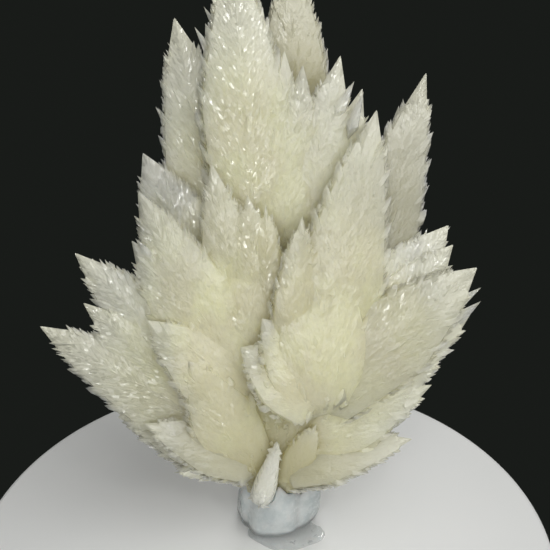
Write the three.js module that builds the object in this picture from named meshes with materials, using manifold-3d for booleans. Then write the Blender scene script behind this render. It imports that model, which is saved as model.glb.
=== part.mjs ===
// Calcite cluster: a fan of broad, saw-edged calcite blades grown together on one short stalk,
// standing in a small wad of clear putty. Millimetres, +Z up, +X to the right, +Y to the back.
// The origin is the middle of the putty's flat foot.

import * as THREE from 'three';
import { mergeVertices } from 'three/addons/utils/BufferGeometryUtils.js';
import Module from 'manifold-3d';

// Driving dimensions
const TOOTH_PITCH = 5.9; // along a blade's edge, from one big tooth to the next
const TOOTH_OUT = 1.5; // how far a big tooth stands out from the notch under it
const TOOTH_LEAN = 0.3; // how far past the next notch a tooth's point reaches, in pitches
const SAW_FROM = 0.3; // the saw edge starts here, as a share of the blade's length
const SAW_TO = 0.9; // and ends here, where the blade's own clean point begins
const ROOT_AT = 0.1; // a blade has its full root width from here on, as a share of its length
const ROOT_THICK = 1.7; // its thickness at the root, as a share of that at 0.6 of its length
const TIP_POWER = 0.62; // below 1 makes the blade's end blunt and leaf-like
const SHOULDER_OUT = 0.76; // where a blade's level face bends down, from its middle to its edge
const SHOULDER_HEIGHT = 0.9; // how high the level face lies, as a share of the full height

const SPUR_SIDES = 6;
const SPUR_FLATTEN = 0.75; // a spur's depth, as a share of its width
const UP = new THREE.Vector3(0, 1, 0);

const HEART = [ // the fused middle and its stalk: radius and height, from the lower end up
  [4.5, 6.5], [6.5, 11], [10.5, 15], [14.5, 20], [16.5, 27], [17.5, 37],
  [17, 47], [14.5, 56], [11, 63], [7, 68], [3, 71],
];
const HEART_SIDES = 12;
const HEART_DEPTH = 0.78; // its depth, as a share of its width
const HEART_HOLLOW = 0.28; // its front is this much flatter than that
const HEART_LUMPS = 0.09; // how far it bulges and sinks, as a share of its radius

const PUTTY_HEIGHT = 16.5;
const PUTTY_FOOT = [10.5, 9]; // half width and half depth at the foot
const PUTTY_WAIST = 0.12; // how much narrower the wad is at its top
const PUTTY_LEAN = 1.5; // how far the top is pushed to the right
const PUTTY_SIDES = 20;
const PUTTY_RINGS = 5;
const PUTTY_CREASES = [ // upright dents between its lobes: angle, width in radians, depth
  [-2.42, 0.28, 1.1], [-0.95, 0.2, 0.8],
];
const SMEAR = { centre: [3, -6.5], half: [9.5, 6], height: 1.6 }; // squeezed out along the foot
const SMEAR_SIDES = 14;
const PUTTY_GAP = 0.3; // clear space all round the stalk's end

// Every blade: where it starts, where its point is, its full width and thickness, how far its
// broad face is turned about its own length (degrees, 0 = facing the front), where along its
// length it is widest, and its width at the root as a share of that.
const BLADES = [
  // the crown
  { name: 'crown', root: [-2, 6, 50], tip: [-9, 3, 143], width: 22, thick: 6.5, roll: 0, belly: 0.66, base: 0.75 },
  { name: 'crown_mid', root: [-1, 6, 53], tip: [2, 3, 123], width: 21, thick: 6.5, roll: 0, belly: 0.5, base: 0.85 },
  { name: 'crown_inner', root: [1, 6, 54], tip: [6, 3, 120], width: 20, thick: 6.5, roll: 0, belly: 0.5, base: 0.85 },
  { name: 'crown_right', root: [2, 6, 55], tip: [14, 3, 122], width: 21, thick: 6.5, roll: 0, belly: 0.5, base: 0.85 },
  { name: 'crown_far_right', root: [4, 6, 55], tip: [19, 3, 115], width: 19, thick: 6.5, roll: 0, belly: 0.5, base: 0.85 },
  { name: 'crown_back', root: [3, 13, 47], tip: [4, 15, 141], width: 22, thick: 6, roll: 4, belly: 0.66, base: 0.75 },
  // the right side, from the top down
  { name: 'right_inner', root: [7, -8, 35], tip: [22, 0, 111], width: 24, thick: 6.5, roll: 9, belly: 0.5, base: 0.9 },
  { name: 'right_tall', root: [15, 0, 42], tip: [33, 5, 118], width: 21, thick: 5.5, roll: 8, belly: 0.5, base: 0.85 },
  { name: 'right_mid', root: [10, -6, 45], tip: [40, 1, 84], width: 22, thick: 5, roll: 8, belly: 0.55, base: 0.85 },
  { name: 'right_fan', root: [10, -6, 43], tip: [41, -1, 80], width: 20, thick: 5, roll: 6, belly: 0.55, base: 0.85 },
  { name: 'right_wide', root: [8, -8, 41], tip: [46, -5, 76], width: 23, thick: 5.5, roll: 4, belly: 0.55, base: 0.85 },
  { name: 'right_wide_low', root: [7, -6, 36], tip: [46, -6, 66], width: 19, thick: 5, roll: 4, belly: 0.55, base: 0.85 },
  { name: 'right_low', root: [6, -6, 30], tip: [40, -8, 56], width: 17, thick: 5, roll: 0, belly: 0.55, base: 0.85 },
  { name: 'right_low_front', root: [5, -5, 25], tip: [37, -10, 48], width: 15, thick: 5, roll: -8, belly: 0.5, base: 0.85 },
  { name: 'right_bottom', root: [4, -3, 23], tip: [31, -3, 38], width: 14, thick: 5, roll: -10, belly: 0.5, base: 0.8 },
  { name: 'right_foot', root: [1, -5, 21], tip: [33, -12, 34], width: 16, thick: 5.5, roll: -20, belly: 0.4, base: 0.9 },
  // the left side, from the top down
  { name: 'left_tall', root: [-6, 4, 51], tip: [-22, 10, 129], width: 26, thick: 6, roll: -8, belly: 0.5, base: 0.8 },
  { name: 'left_upper', root: [-7, -2, 49], tip: [-30, 5, 100], width: 25, thick: 5.5, roll: -8, belly: 0.5, base: 0.85 },
  { name: 'left_belly', root: [-5, -4, 38], tip: [-30, -5, 94], width: 24, thick: 6, roll: -6, belly: 0.45, base: 0.85 },
  { name: 'left_belly_low', root: [-5, -4, 37], tip: [-32, -6, 83], width: 20, thick: 5.5, roll: -6, belly: 0.5, base: 0.85 },
  { name: 'left_long', root: [-7, -3, 36], tip: [-45, -6, 80], width: 21, thick: 5, roll: -10, belly: 0.5, base: 0.85 },
  { name: 'left_long_low', root: [-8, -4, 31], tip: [-44, -7, 68], width: 19, thick: 5, roll: -5, belly: 0.5, base: 0.85 },
  { name: 'left_low', root: [-5, -4, 26], tip: [-54, -9, 63], width: 21, thick: 5, roll: 0, belly: 0.5, base: 0.85 },
  { name: 'left_skirt', root: [-4, -6, 23], tip: [-39, -9, 41], width: 17, thick: 5, roll: 10, belly: 0.5, base: 0.85 },
  { name: 'left_under', root: [-4, 0, 21], tip: [-32, 4, 50], width: 18, thick: 5, roll: -60, belly: 0.42, base: 0.75 },
  { name: 'left_foot', root: [-3, -6, 22], tip: [-31, -13, 39], width: 16, thick: 5.5, roll: 12, belly: 0.45, base: 0.7 },
  { name: 'left_foot_low', root: [-2, -5, 23], tip: [-25, -12, 24], width: 9, thick: 5, roll: 15, belly: 0.45, base: 0.8 },
  // the front
  { name: 'inner_low', root: [4, -7, 49], tip: [6, -6, 89], width: 13, thick: 5.5, roll: 10, belly: 0.5, base: 0.85 },
  { name: 'shield', root: [10, -10, 39], tip: [12, -4, 85], width: 24, thick: 6.5, roll: 4, belly: 0.45, base: 0.85 },
  { name: 'shield_left', root: [12, -8, 42], tip: [-8, -10, 58], width: 20, thick: 6, roll: 10, belly: 0.5, base: 0.9 },
  { name: 'shield_mid', root: [12, -8, 43], tip: [-3, -9, 65], width: 19, thick: 6, roll: 8, belly: 0.5, base: 0.9 },
  { name: 'centre_left', root: [-4, -4, 40], tip: [-14, -3, 100], width: 19, thick: 6, roll: -5, belly: 0.5, base: 0.9 },
  { name: 'front_left', root: [-4, -5, 38], tip: [-29, -10, 65], width: 20, thick: 5.5, roll: 4, belly: 0.5, base: 0.8 },
  { name: 'front_low_left', root: [-3, -6, 17], tip: [-20, -11, 55], width: 19, thick: 6, roll: 4, belly: 0.58, base: 0.55 },
  { name: 'groove_left', root: [-4, -3, 56], tip: [-6, -4, 93], width: 13, thick: 5.5, roll: 0, belly: 0.6, base: 0.8 },
  { name: 'groove_mid', root: [-2, -3, 56], tip: [-2, -4, 91], width: 9, thick: 5.5, roll: 0, belly: 0.6, base: 0.8 },
  { name: 'front_pillar', root: [-4, -8, 11], tip: [1, -13, 35], width: 7, thick: 5, roll: 0, belly: 0.3, base: 0.95 },
  { name: 'front_right_low', root: [3, -5, 15], tip: [30, -10, 44], width: 15, thick: 5.5, roll: -4, belly: 0.62, base: 0.35 },
  { name: 'rib_right', root: [2, -5, 13], tip: [10, -10, 37], width: 10, thick: 5.5, roll: 0, belly: 0.55, base: 0.6 },
  // the back, which the photograph doesn't show
  { name: 'back_tall', root: [2, 8, 44], tip: [-8, 22, 124], width: 24, thick: 6.5, roll: 188, belly: 0.5, base: 0.8 },
  { name: 'back_right_tall', root: [6, 8, 38], tip: [24, 20, 104], width: 22, thick: 6, roll: 150, belly: 0.5, base: 0.85 },
  { name: 'back_right', root: [6, 7, 32], tip: [34, 19, 74], width: 23, thick: 6, roll: 145, belly: 0.5, base: 0.85 },
  { name: 'back_right_low', root: [4, 4, 22], tip: [31, 13, 46], width: 17, thick: 5.5, roll: 125, belly: 0.45, base: 0.85 },
  { name: 'back_left', root: [-6, 8, 34], tip: [-31, 21, 88], width: 23, thick: 6, roll: 208, belly: 0.5, base: 0.85 },
  { name: 'back_left_low', root: [-5, 6, 25], tip: [-37, 18, 57], width: 20, thick: 5.5, roll: 215, belly: 0.5, base: 0.85 },
  { name: 'back_left_foot', root: [-3, 5, 20], tip: [-24, 17, 36], width: 15, thick: 5, roll: 215, belly: 0.45, base: 0.85 },
  { name: 'back_mid', root: [0, 9, 32], tip: [6, 33, 86], width: 25, thick: 6.5, roll: 172, belly: 0.45, base: 0.85 },
  { name: 'back_low', root: [-2, 8, 24], tip: [-12, 35, 60], width: 22, thick: 6, roll: 193, belly: 0.42, base: 0.85 },
  { name: 'back_low_right', root: [4, 7, 22], tip: [22, 29, 50], width: 20, thick: 6, roll: 155, belly: 0.42, base: 0.85 },
  { name: 'back_foot', root: [0, 5, 19], tip: [3, 28, 36], width: 17, thick: 5.5, roll: 175, belly: 0.42, base: 0.85 },
];

// Single clean crystals that stand out past a saw edge: foot, point, and radius at the foot
const SPURS = [
  { foot: [-9, 4, 122], point: [-15, 4, 132], radius: 1.8 },
  { foot: [-11, 4, 117], point: [-17, 3, 128], radius: 1.9 },
  { foot: [-21, 9, 99], point: [-27, 8, 110], radius: 1.8 },
  { foot: [-26, 1, 84], point: [-31, 0, 93], radius: 1.8 },
  { foot: [-25, -6, 74], point: [-31, -7, 84], radius: 2 },
  { foot: [31, 5, 101], point: [36, 6, 114], radius: 1.9 },
  { foot: [13, 1, 108], point: [17, 1, 117], radius: 1.7 },
  { foot: [16, -1, 104], point: [19, 0, 115], radius: 1.6 },
  { foot: [33, 2, 74], point: [41, 3, 83], radius: 1.8 },
  { foot: [34, 1, 70], point: [42, 1, 79], radius: 1.8 },
  { foot: [40, -6, 64], point: [47, -7, 72], radius: 1.9 },
  { foot: [41, -7, 61], point: [47, -8, 69], radius: 1.9 },
];

// A repeatable number from 0 to 1 for tooth k of blade n
function chance(n, k) {
  const x = Math.sin(n * 12.9898 + k * 78.233) * 43758.5453;
  return x - Math.floor(x);
}

// A blade's own axes: along it, sideways, and out of its front face
function bladeAxes({ root, tip, roll }) {
  const start = new THREE.Vector3(...root);
  const along = new THREE.Vector3(...tip).sub(start);
  const length = along.length();
  along.normalize();
  const face = new THREE.Vector3(0, -1, 0.35);
  face.addScaledVector(along, -face.dot(along)).normalize();
  face.applyAxisAngle(along, THREE.MathUtils.degToRad(roll));
  const side = new THREE.Vector3().crossVectors(along, face);
  return { start, along, side, face, length };
}

// Half of a blade's outline, from 0 at its point to 1 where it is widest
function swell(t, { belly, base }) {
  if (t < belly) return base + (1 - base) * Math.sin((Math.PI / 2) * (t / belly));
  return ((1 - t) / (1 - belly)) ** TIP_POWER;
}

// One blade as a closed mesh. The saw edge lies on its middle plane, and each face rises from it
// to a level band.
function bladeGeometry(blade, number) {
  const { start, along, side, face, length } = bladeAxes(blade);
  const teeth = Math.max(3, Math.round((length * (SAW_TO - SAW_FROM)) / TOOTH_PITCH));
  const pitch = (SAW_TO - SAW_FROM) / teeth;
  const corners = [];
  const triangles = [];

  const corner = (t, x, z) => {
    corners.push(start.clone().addScaledVector(along, t * length).addScaledVector(side, x)
      .addScaledVector(face, z));
    return corners.length - 1;
  };
  const halfWidth = (t) => (blade.width / 2) * swell(t, blade);
  const taper = (t) => ROOT_THICK + ((1 - ROOT_THICK) * t) / 0.6;
  const halfThick = (t) => (blade.thick / 2) * swell(t, blade) ** 0.8 * taper(t);

  const rootEnd = corner(0, 0, 0);
  const tipEnd = corner(1, 0, 0);
  const edges = [1, -1].map((sign, hand) => {
    const notches = [corner(ROOT_AT, sign * halfWidth(ROOT_AT), 0)];
    const points = [];
    for (let i = 0; i <= teeth; i += 1) {
      const t = SAW_FROM + i * pitch;
      const depth = TOOTH_OUT * (0.6 + 0.8 * chance(number, 2 * i + hand));
      notches.push(corner(t, sign * Math.max(halfWidth(t) - depth, 0.5), 0));
      if (i < teeth) {
        const high = t + pitch * (1 + TOOTH_LEAN);
        points.push(corner(high, sign * (halfWidth(high) + 0.2), 0));
      }
    }
    return { sign, notches, points };
  });

  for (const up of [1, -1]) {
    const bandAt = (t, sign) => corner(t, sign * halfWidth(t) * SHOULDER_OUT,
      up * halfThick(t) * SHOULDER_HEIGHT);
    const bands = edges.map(({ sign, notches, points }) => {
      const add = (a, b, c) => triangles.push(sign * up > 0 ? [a, b, c] : [a, c, b]);
      const band = [bandAt(ROOT_AT, sign)];
      for (let i = 0; i < teeth; i += 1) band.push(bandAt(SAW_FROM + (i + 0.55) * pitch, sign));
      add(rootEnd, notches[0], band[0]);
      add(notches[0], notches[1], band[1]);
      add(notches[0], band[1], band[0]);
      for (let i = 0; i < teeth; i += 1) {
        add(notches[i + 1], points[i], band[i + 1]);
        add(points[i], notches[i + 2], band[i + 1]);
        if (i + 1 < teeth) add(notches[i + 2], band[i + 2], band[i + 1]);
      }
      add(notches[teeth + 1], tipEnd, band[teeth]);
      return band;
    });
    const [right, left] = bands;
    const add = (a, b, c) => triangles.push(up > 0 ? [a, b, c] : [a, c, b]);
    add(rootEnd, right[0], left[0]);
    for (let i = 0; i < teeth; i += 1) {
      add(left[i], right[i], left[i + 1]);
      add(right[i], right[i + 1], left[i + 1]);
    }
    add(right[teeth], tipEnd, left[teeth]);
  }

  const geometry = new THREE.BufferGeometry();
  geometry.setAttribute('position',
    new THREE.Float32BufferAttribute(corners.flatMap((p) => [p.x, p.y, p.z]), 3));
  geometry.setIndex(triangles.flat());
  return geometry;
}

// A spur: a six-sided crystal, widest low down and tapering to its point
function spurGeometry({ foot, point, radius }) {
  const start = new THREE.Vector3(...foot);
  const along = new THREE.Vector3(...point).sub(start);
  const length = along.length();
  const profile = [[0, 0], [radius * 0.8, length * 0.05], [radius, length * 0.3], [0, length]];
  return new THREE.LatheGeometry(profile.map(([r, h]) => new THREE.Vector2(r, h)), SPUR_SIDES)
    .scale(1, 1, SPUR_FLATTEN)
    .applyQuaternion(new THREE.Quaternion().setFromUnitVectors(UP, along.normalize()))
    .translate(...foot);
}

// A lump standing on a flat foot: rings of corners from the ground up, closed by a middle
// corner below and above. ring(h, a) gives the corner at height share h and angle a.
function lumpGeometry(sides, rings, ring, bottom, top) {
  const corners = [bottom];
  const triangles = [];
  for (let r = 0; r < rings; r += 1) {
    for (let k = 0; k < sides; k += 1) corners.push(ring(r / (rings - 1), (2 * Math.PI * k) / sides));
  }
  corners.push(top);
  const at = (r, k) => 1 + r * sides + (k % sides);
  for (let k = 0; k < sides; k += 1) {
    triangles.push([0, at(0, k + 1), at(0, k)]);
    for (let r = 0; r + 1 < rings; r += 1) {
      triangles.push([at(r, k), at(r, k + 1), at(r + 1, k + 1)], [at(r, k), at(r + 1, k + 1), at(r + 1, k)]);
    }
    triangles.push([corners.length - 1, at(rings - 1, k), at(rings - 1, k + 1)]);
  }
  const geometry = new THREE.BufferGeometry();
  geometry.setAttribute('position', new THREE.Float32BufferAttribute(corners.flat(), 3));
  geometry.setIndex(triangles.flat());
  return geometry;
}

// The heart of the cluster, where the blades have grown into one another, and the stalk below it
function heartGeometry() {
  const ring = (h, a) => {
    const [radius, height] = HEART[Math.round(h * (HEART.length - 1))];
    const calm = THREE.MathUtils.clamp((height - 9) / 12, 0, 1);
    const lumps = 0.6 * Math.sin(3 * a + 0.11 * height) + 0.4 * Math.sin(5 * a - 0.16 * height + 2);
    const reach = radius * (1 + HEART_LUMPS * calm * lumps);
    const depth = HEART_DEPTH - HEART_HOLLOW * calm * Math.max(0, -Math.sin(a));
    return [reach * Math.cos(a), reach * depth * Math.sin(a), height];
  };
  const [[, low], [, high]] = [HEART[0], HEART[HEART.length - 1]];
  return lumpGeometry(HEART_SIDES, HEART.length, ring, [0, 0, low], [0, 0, high + 4]);
}

// The wad of putty, with finger dents, lobes, a slight waist and an uneven rim
function wadGeometry() {
  const [halfWidth, halfDepth] = PUTTY_FOOT;
  const ring = (h, a) => {
    const dents = 1 + 0.05 * Math.sin(3 * a + 1) + 0.03 * Math.sin(5 * a + 4 * h);
    const reach = dents * (1 - PUTTY_WAIST * h + 0.09 * Math.sin(Math.PI * h));
    const turn = a > Math.PI ? a - 2 * Math.PI : a;
    const crease = PUTTY_CREASES.reduce((sum, [middle, width, depth]) => (
      sum + depth * Math.exp(-(((turn - middle) / width) ** 2))), 0);
    return [(halfWidth * reach - crease) * Math.cos(a) + PUTTY_LEAN * h,
      (halfDepth * reach - crease) * Math.sin(a),
      PUTTY_HEIGHT * h + 1.2 * h * h * Math.sin(2 * a)];
  };
  return lumpGeometry(PUTTY_SIDES, PUTTY_RINGS, ring, [0, 0, 0], [PUTTY_LEAN, 0, PUTTY_HEIGHT]);
}

// The thin smear squeezed out from under it at the front
function smearGeometry() {
  const { centre: [x, y], half: [halfWidth, halfDepth], height } = SMEAR;
  const ring = (h, a) => {
    const reach = (1 - 0.35 * h) * (1 + 0.07 * Math.sin(4 * a + 2));
    return [x + halfWidth * reach * Math.cos(a), y + halfDepth * reach * Math.sin(a), height * h];
  };
  return lumpGeometry(SMEAR_SIDES, 3, ring, [x, y, 0], [x, y, height]);
}

const wasm = await Module();
wasm.setup();

function solid(geometry) {
  geometry.deleteAttribute('normal');
  geometry.deleteAttribute('uv');
  const merged = mergeVertices(geometry, 1e-4);
  const index = [];
  for (let i = 0; i < merged.index.count; i += 3) {
    const [a, b, c] = [0, 1, 2].map((k) => merged.index.getX(i + k));
    if (a !== b && b !== c && c !== a) index.push(a, b, c);
  }
  return new wasm.Manifold(new wasm.Mesh({
    numProp: 3,
    vertProperties: new Float32Array(merged.attributes.position.array),
    triVerts: new Uint32Array(index),
  }));
}

function mesh(name, shape, material) {
  const { vertProperties, triVerts } = shape.getMesh();
  const geometry = new THREE.BufferGeometry();
  geometry.setAttribute('position', new THREE.BufferAttribute(vertProperties, 3));
  geometry.setIndex(new THREE.BufferAttribute(triVerts, 1));
  geometry.computeVertexNormals();
  const result = new THREE.Mesh(geometry, material);
  result.name = name;
  return result;
}

let cluster = solid(heartGeometry());
for (const [number, blade] of BLADES.entries()) {
  cluster = cluster.add(solid(bladeGeometry(blade, number)));
}
for (const spur of SPURS) cluster = cluster.add(solid(spurGeometry(spur)));
// The blades close in a few pockets between them. The crystal is solid there, so only the
// largest shell, its outside, is kept.
[cluster] = cluster.decompose().sort((a, b) => b.volume() - a.volume());

// The putty keeps the shape of the stalk pressed into it, with a little clear space all round
let putty = solid(wadGeometry()).add(solid(smearGeometry()));
for (const x of [-1, 0, 1]) {
  for (const y of [-1, 0, 1]) {
    for (const z of [-1, 0, 1]) {
      const shift = new THREE.Vector3(x, y, z).setLength(PUTTY_GAP);
      putty = putty.subtract(cluster.translate(shift.toArray()));
    }
  }
}

const calcite = new THREE.MeshStandardMaterial({ color: '#d8d5b8', roughness: 0.35, metalness: 0 });
const clearPutty = new THREE.MeshStandardMaterial({ color: '#b9c2cc', roughness: 0.15, metalness: 0 });

const part = new THREE.Group();
part.add(mesh('calcite_cluster', cluster, calcite));
part.add(mesh('mounting_putty', putty, clearPutty));
export default part;
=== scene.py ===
# %% [markdown]
# # A calcite cluster in Blender
# The real object is a fan of flat, saw-edged calcite blades that grew together on one short stalk.
# The stalk is pushed into a small wad of clear putty, so that the cluster stands upright.
# The CAD frame already has the main blades as plain faceted solids. This lesson grows the same
# blades again with what only a render needs: thousands of fine teeth, slats on the faces,
# half-clear points, and a milky crystal that light can enter.
# The tables are in millimetres. Every length becomes metres when a mesh is made.

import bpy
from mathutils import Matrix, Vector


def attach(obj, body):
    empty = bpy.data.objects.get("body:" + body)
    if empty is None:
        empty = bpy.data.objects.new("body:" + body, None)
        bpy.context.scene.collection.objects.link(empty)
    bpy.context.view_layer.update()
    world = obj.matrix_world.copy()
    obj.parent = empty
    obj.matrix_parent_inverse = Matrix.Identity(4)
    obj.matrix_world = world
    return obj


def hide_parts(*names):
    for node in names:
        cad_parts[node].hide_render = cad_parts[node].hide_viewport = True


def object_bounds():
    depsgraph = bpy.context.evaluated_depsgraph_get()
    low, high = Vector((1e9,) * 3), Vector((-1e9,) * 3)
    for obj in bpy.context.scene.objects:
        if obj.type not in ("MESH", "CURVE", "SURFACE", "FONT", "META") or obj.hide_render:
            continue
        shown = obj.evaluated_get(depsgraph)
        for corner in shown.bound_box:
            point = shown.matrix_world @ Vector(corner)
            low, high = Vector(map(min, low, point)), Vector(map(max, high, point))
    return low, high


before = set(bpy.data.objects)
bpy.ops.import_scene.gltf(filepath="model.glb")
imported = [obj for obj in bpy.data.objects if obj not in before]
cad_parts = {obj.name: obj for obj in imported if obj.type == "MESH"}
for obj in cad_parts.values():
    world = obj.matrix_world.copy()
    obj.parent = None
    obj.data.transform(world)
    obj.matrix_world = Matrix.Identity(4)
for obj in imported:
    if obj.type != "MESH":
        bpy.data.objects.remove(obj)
cad_low, cad_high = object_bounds()
print("CAD nodes:", sorted(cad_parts))
print("CAD box in metres:", tuple(cad_low), tuple(cad_high))

# %% The other tools
import math
import random

import bmesh
import bpy
import numpy as np
from mathutils import Quaternion, Vector, noise
from mathutils.bvhtree import BVHTree

MM = 0.001

# %% [markdown]
# ## The camera
# The photograph was taken from close in front, from a little above the highest blade and
# tilted down. A lens is a focal length in pixels here, because that is what the perspective of
# a picture gives, and Blender wants it in millimetres on its 36 mm sensor.

# %% Camera
IMAGE_WIDTH = 550
FOCAL_PIXELS = 833
SENSOR = 36
LOOK_DOWN = math.radians(24.1)
EYE = Vector((0, -179, 152))


def in_scene(name, data):
    thing = bpy.data.objects.new(name, data)
    bpy.context.scene.collection.objects.link(thing)
    return thing


camera = in_scene("camera", bpy.data.cameras.new("camera"))
camera.data.sensor_width = SENSOR
camera.data.lens = FOCAL_PIXELS / IMAGE_WIDTH * SENSOR
camera.data.clip_start = 0.01
camera.location = EYE * MM
camera.rotation_euler = (math.pi / 2 - LOOK_DOWN, 0, 0)
bpy.context.scene.camera = camera
bpy.context.scene.view_settings.view_transform = "Standard"
print("lens", round(camera.data.lens, 1), "mm")

# %% [markdown]
# ## Closed forms from rings
# Every form here, from the floor to the smallest tooth, is a foot, some rings of corners and a
# point, with faces from each ring to the next. That gives a closed skin, and only closed skins
# can be united into one solid. For a round form one rule gives all the corners.

# %% Loft
def loft(foot, rings, point):
    count = len(rings[0])
    corners = [foot]
    for ring in rings:
        corners.extend(ring)
    corners.append(point)
    last = len(corners) - 1
    faces = []
    for k in range(count):
        after = (k + 1) % count
        faces.append((0, 1 + k, 1 + after))
        faces.append((last, last - count + after, last - count + k))
        for r in range(len(rings) - 1):
            a = 1 + r * count + k
            b = 1 + r * count + after
            faces.append((a, a + count, b + count, b))
    return corners, faces


def lump(sides, rings, ring, bottom, top):
    rows = []
    for r in range(rings):
        share = r / (rings - 1)
        turns = [-2 * math.pi * k / sides for k in range(sides)]
        rows.append([ring(share, turn) for turn in turns])
    return loft(bottom, rows, top)


def thing_from(name, form):
    mesh = bpy.data.meshes.new(name)
    mesh.from_pydata([corner * MM for corner in form[0]], [], form[1])
    return in_scene(name, mesh)


# %% [markdown]
# ## The floor and the light
# The cluster stands on a plain pale round slab in front of darkness. The darkness matters for
# the crystal: its thin points let the dark through and look grey, while its thick middle
# glows. The slab's rim is rounded.
# The light is soft: a big panel above to the right, a broad one in front, and others at the
# sides and behind. Five small lights add sparks, because a glittering face needs something
# small and bright to mirror.

# %% Floor
SLAB_CENTRE = Vector((-2.9, -3.5, -0.05))
SLAB_RADIUS, SLAB_THICK, SLAB_ROUNDING = 75, 9, 1.2
SLAB_SIDES, SLAB_RINGS = 160, 7


def slab_ring(share, turn):
    angle = math.pi * (share - 0.5)
    out = SLAB_RADIUS - SLAB_ROUNDING + SLAB_ROUNDING * math.cos(angle)
    base = SLAB_ROUNDING - SLAB_THICK if angle < 0 else -SLAB_ROUNDING
    height = base + SLAB_ROUNDING * math.sin(angle)
    return SLAB_CENTRE + Vector((out * math.cos(turn), out * math.sin(turn), height))


under = SLAB_CENTRE - Vector((0, 0, SLAB_THICK))
floor = thing_from("floor", lump(SLAB_SIDES, SLAB_RINGS, slab_ring, under, SLAB_CENTRE))
print("floor corners", len(floor.data.vertices))

# %% Darkness and light panels
DARK = (0.0097, 0.0112, 0.0097)

world = bpy.data.worlds.new("dark room")
world.use_nodes = True
world.node_tree.nodes["Background"].inputs["Color"].default_value = (*DARK, 1)
bpy.context.scene.world = world


def panel(name, place, aim, size, watts):
    light = bpy.data.lights.new(name, "AREA")
    light.shape = "DISK"
    light.size = size * MM
    light.energy = watts
    lamp = in_scene(name, light)
    lamp.location = Vector(place) * MM
    toward = Vector((0, 0, aim)) - Vector(place)
    lamp.rotation_euler = toward.to_track_quat("-Z", "Y").to_euler()
    lamp.visible_camera = False


# name, place, height that it aims at, size, watts
PANELS = (
    ("top panel", (150, -130, 430), 60, 380, 0.7),
    ("front panel", (20, -420, 230), 60, 640, 0.66),
    ("left panel", (-420, -220, 230), 70, 300, 0.2),
    ("right panel", (430, -200, 200), 70, 340, 0.4),
    ("back panel", (60, 420, 330), 70, 300, 0.6),
)
SPARKS = ((-90, -300, 210), (70, -310, 130), (10, -270, 320), (-20, -330, 90), (150, -250, 240))
SPARK_AIM, SPARK_SIZE, SPARK_WATTS = 80, 60, 0.1
for row in PANELS:
    panel(*row)
for number, place in enumerate(SPARKS):
    panel(f"spark light {number}", place, SPARK_AIM, SPARK_SIZE, SPARK_WATTS)
print("lights", len(bpy.data.lights))

# %% [markdown]
# ## The blades
# Calcite grows here as broad blades, like feathers or leaves of stone. Each blade has a root in
# the stalk, a point, a width, a thickness, a turn about its own length, and a place where it is
# widest. One row of the table holds that for one blade, so the same few functions can make
# them all. The rows match the CAD blades, so that the render has the frame's shape.

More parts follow.
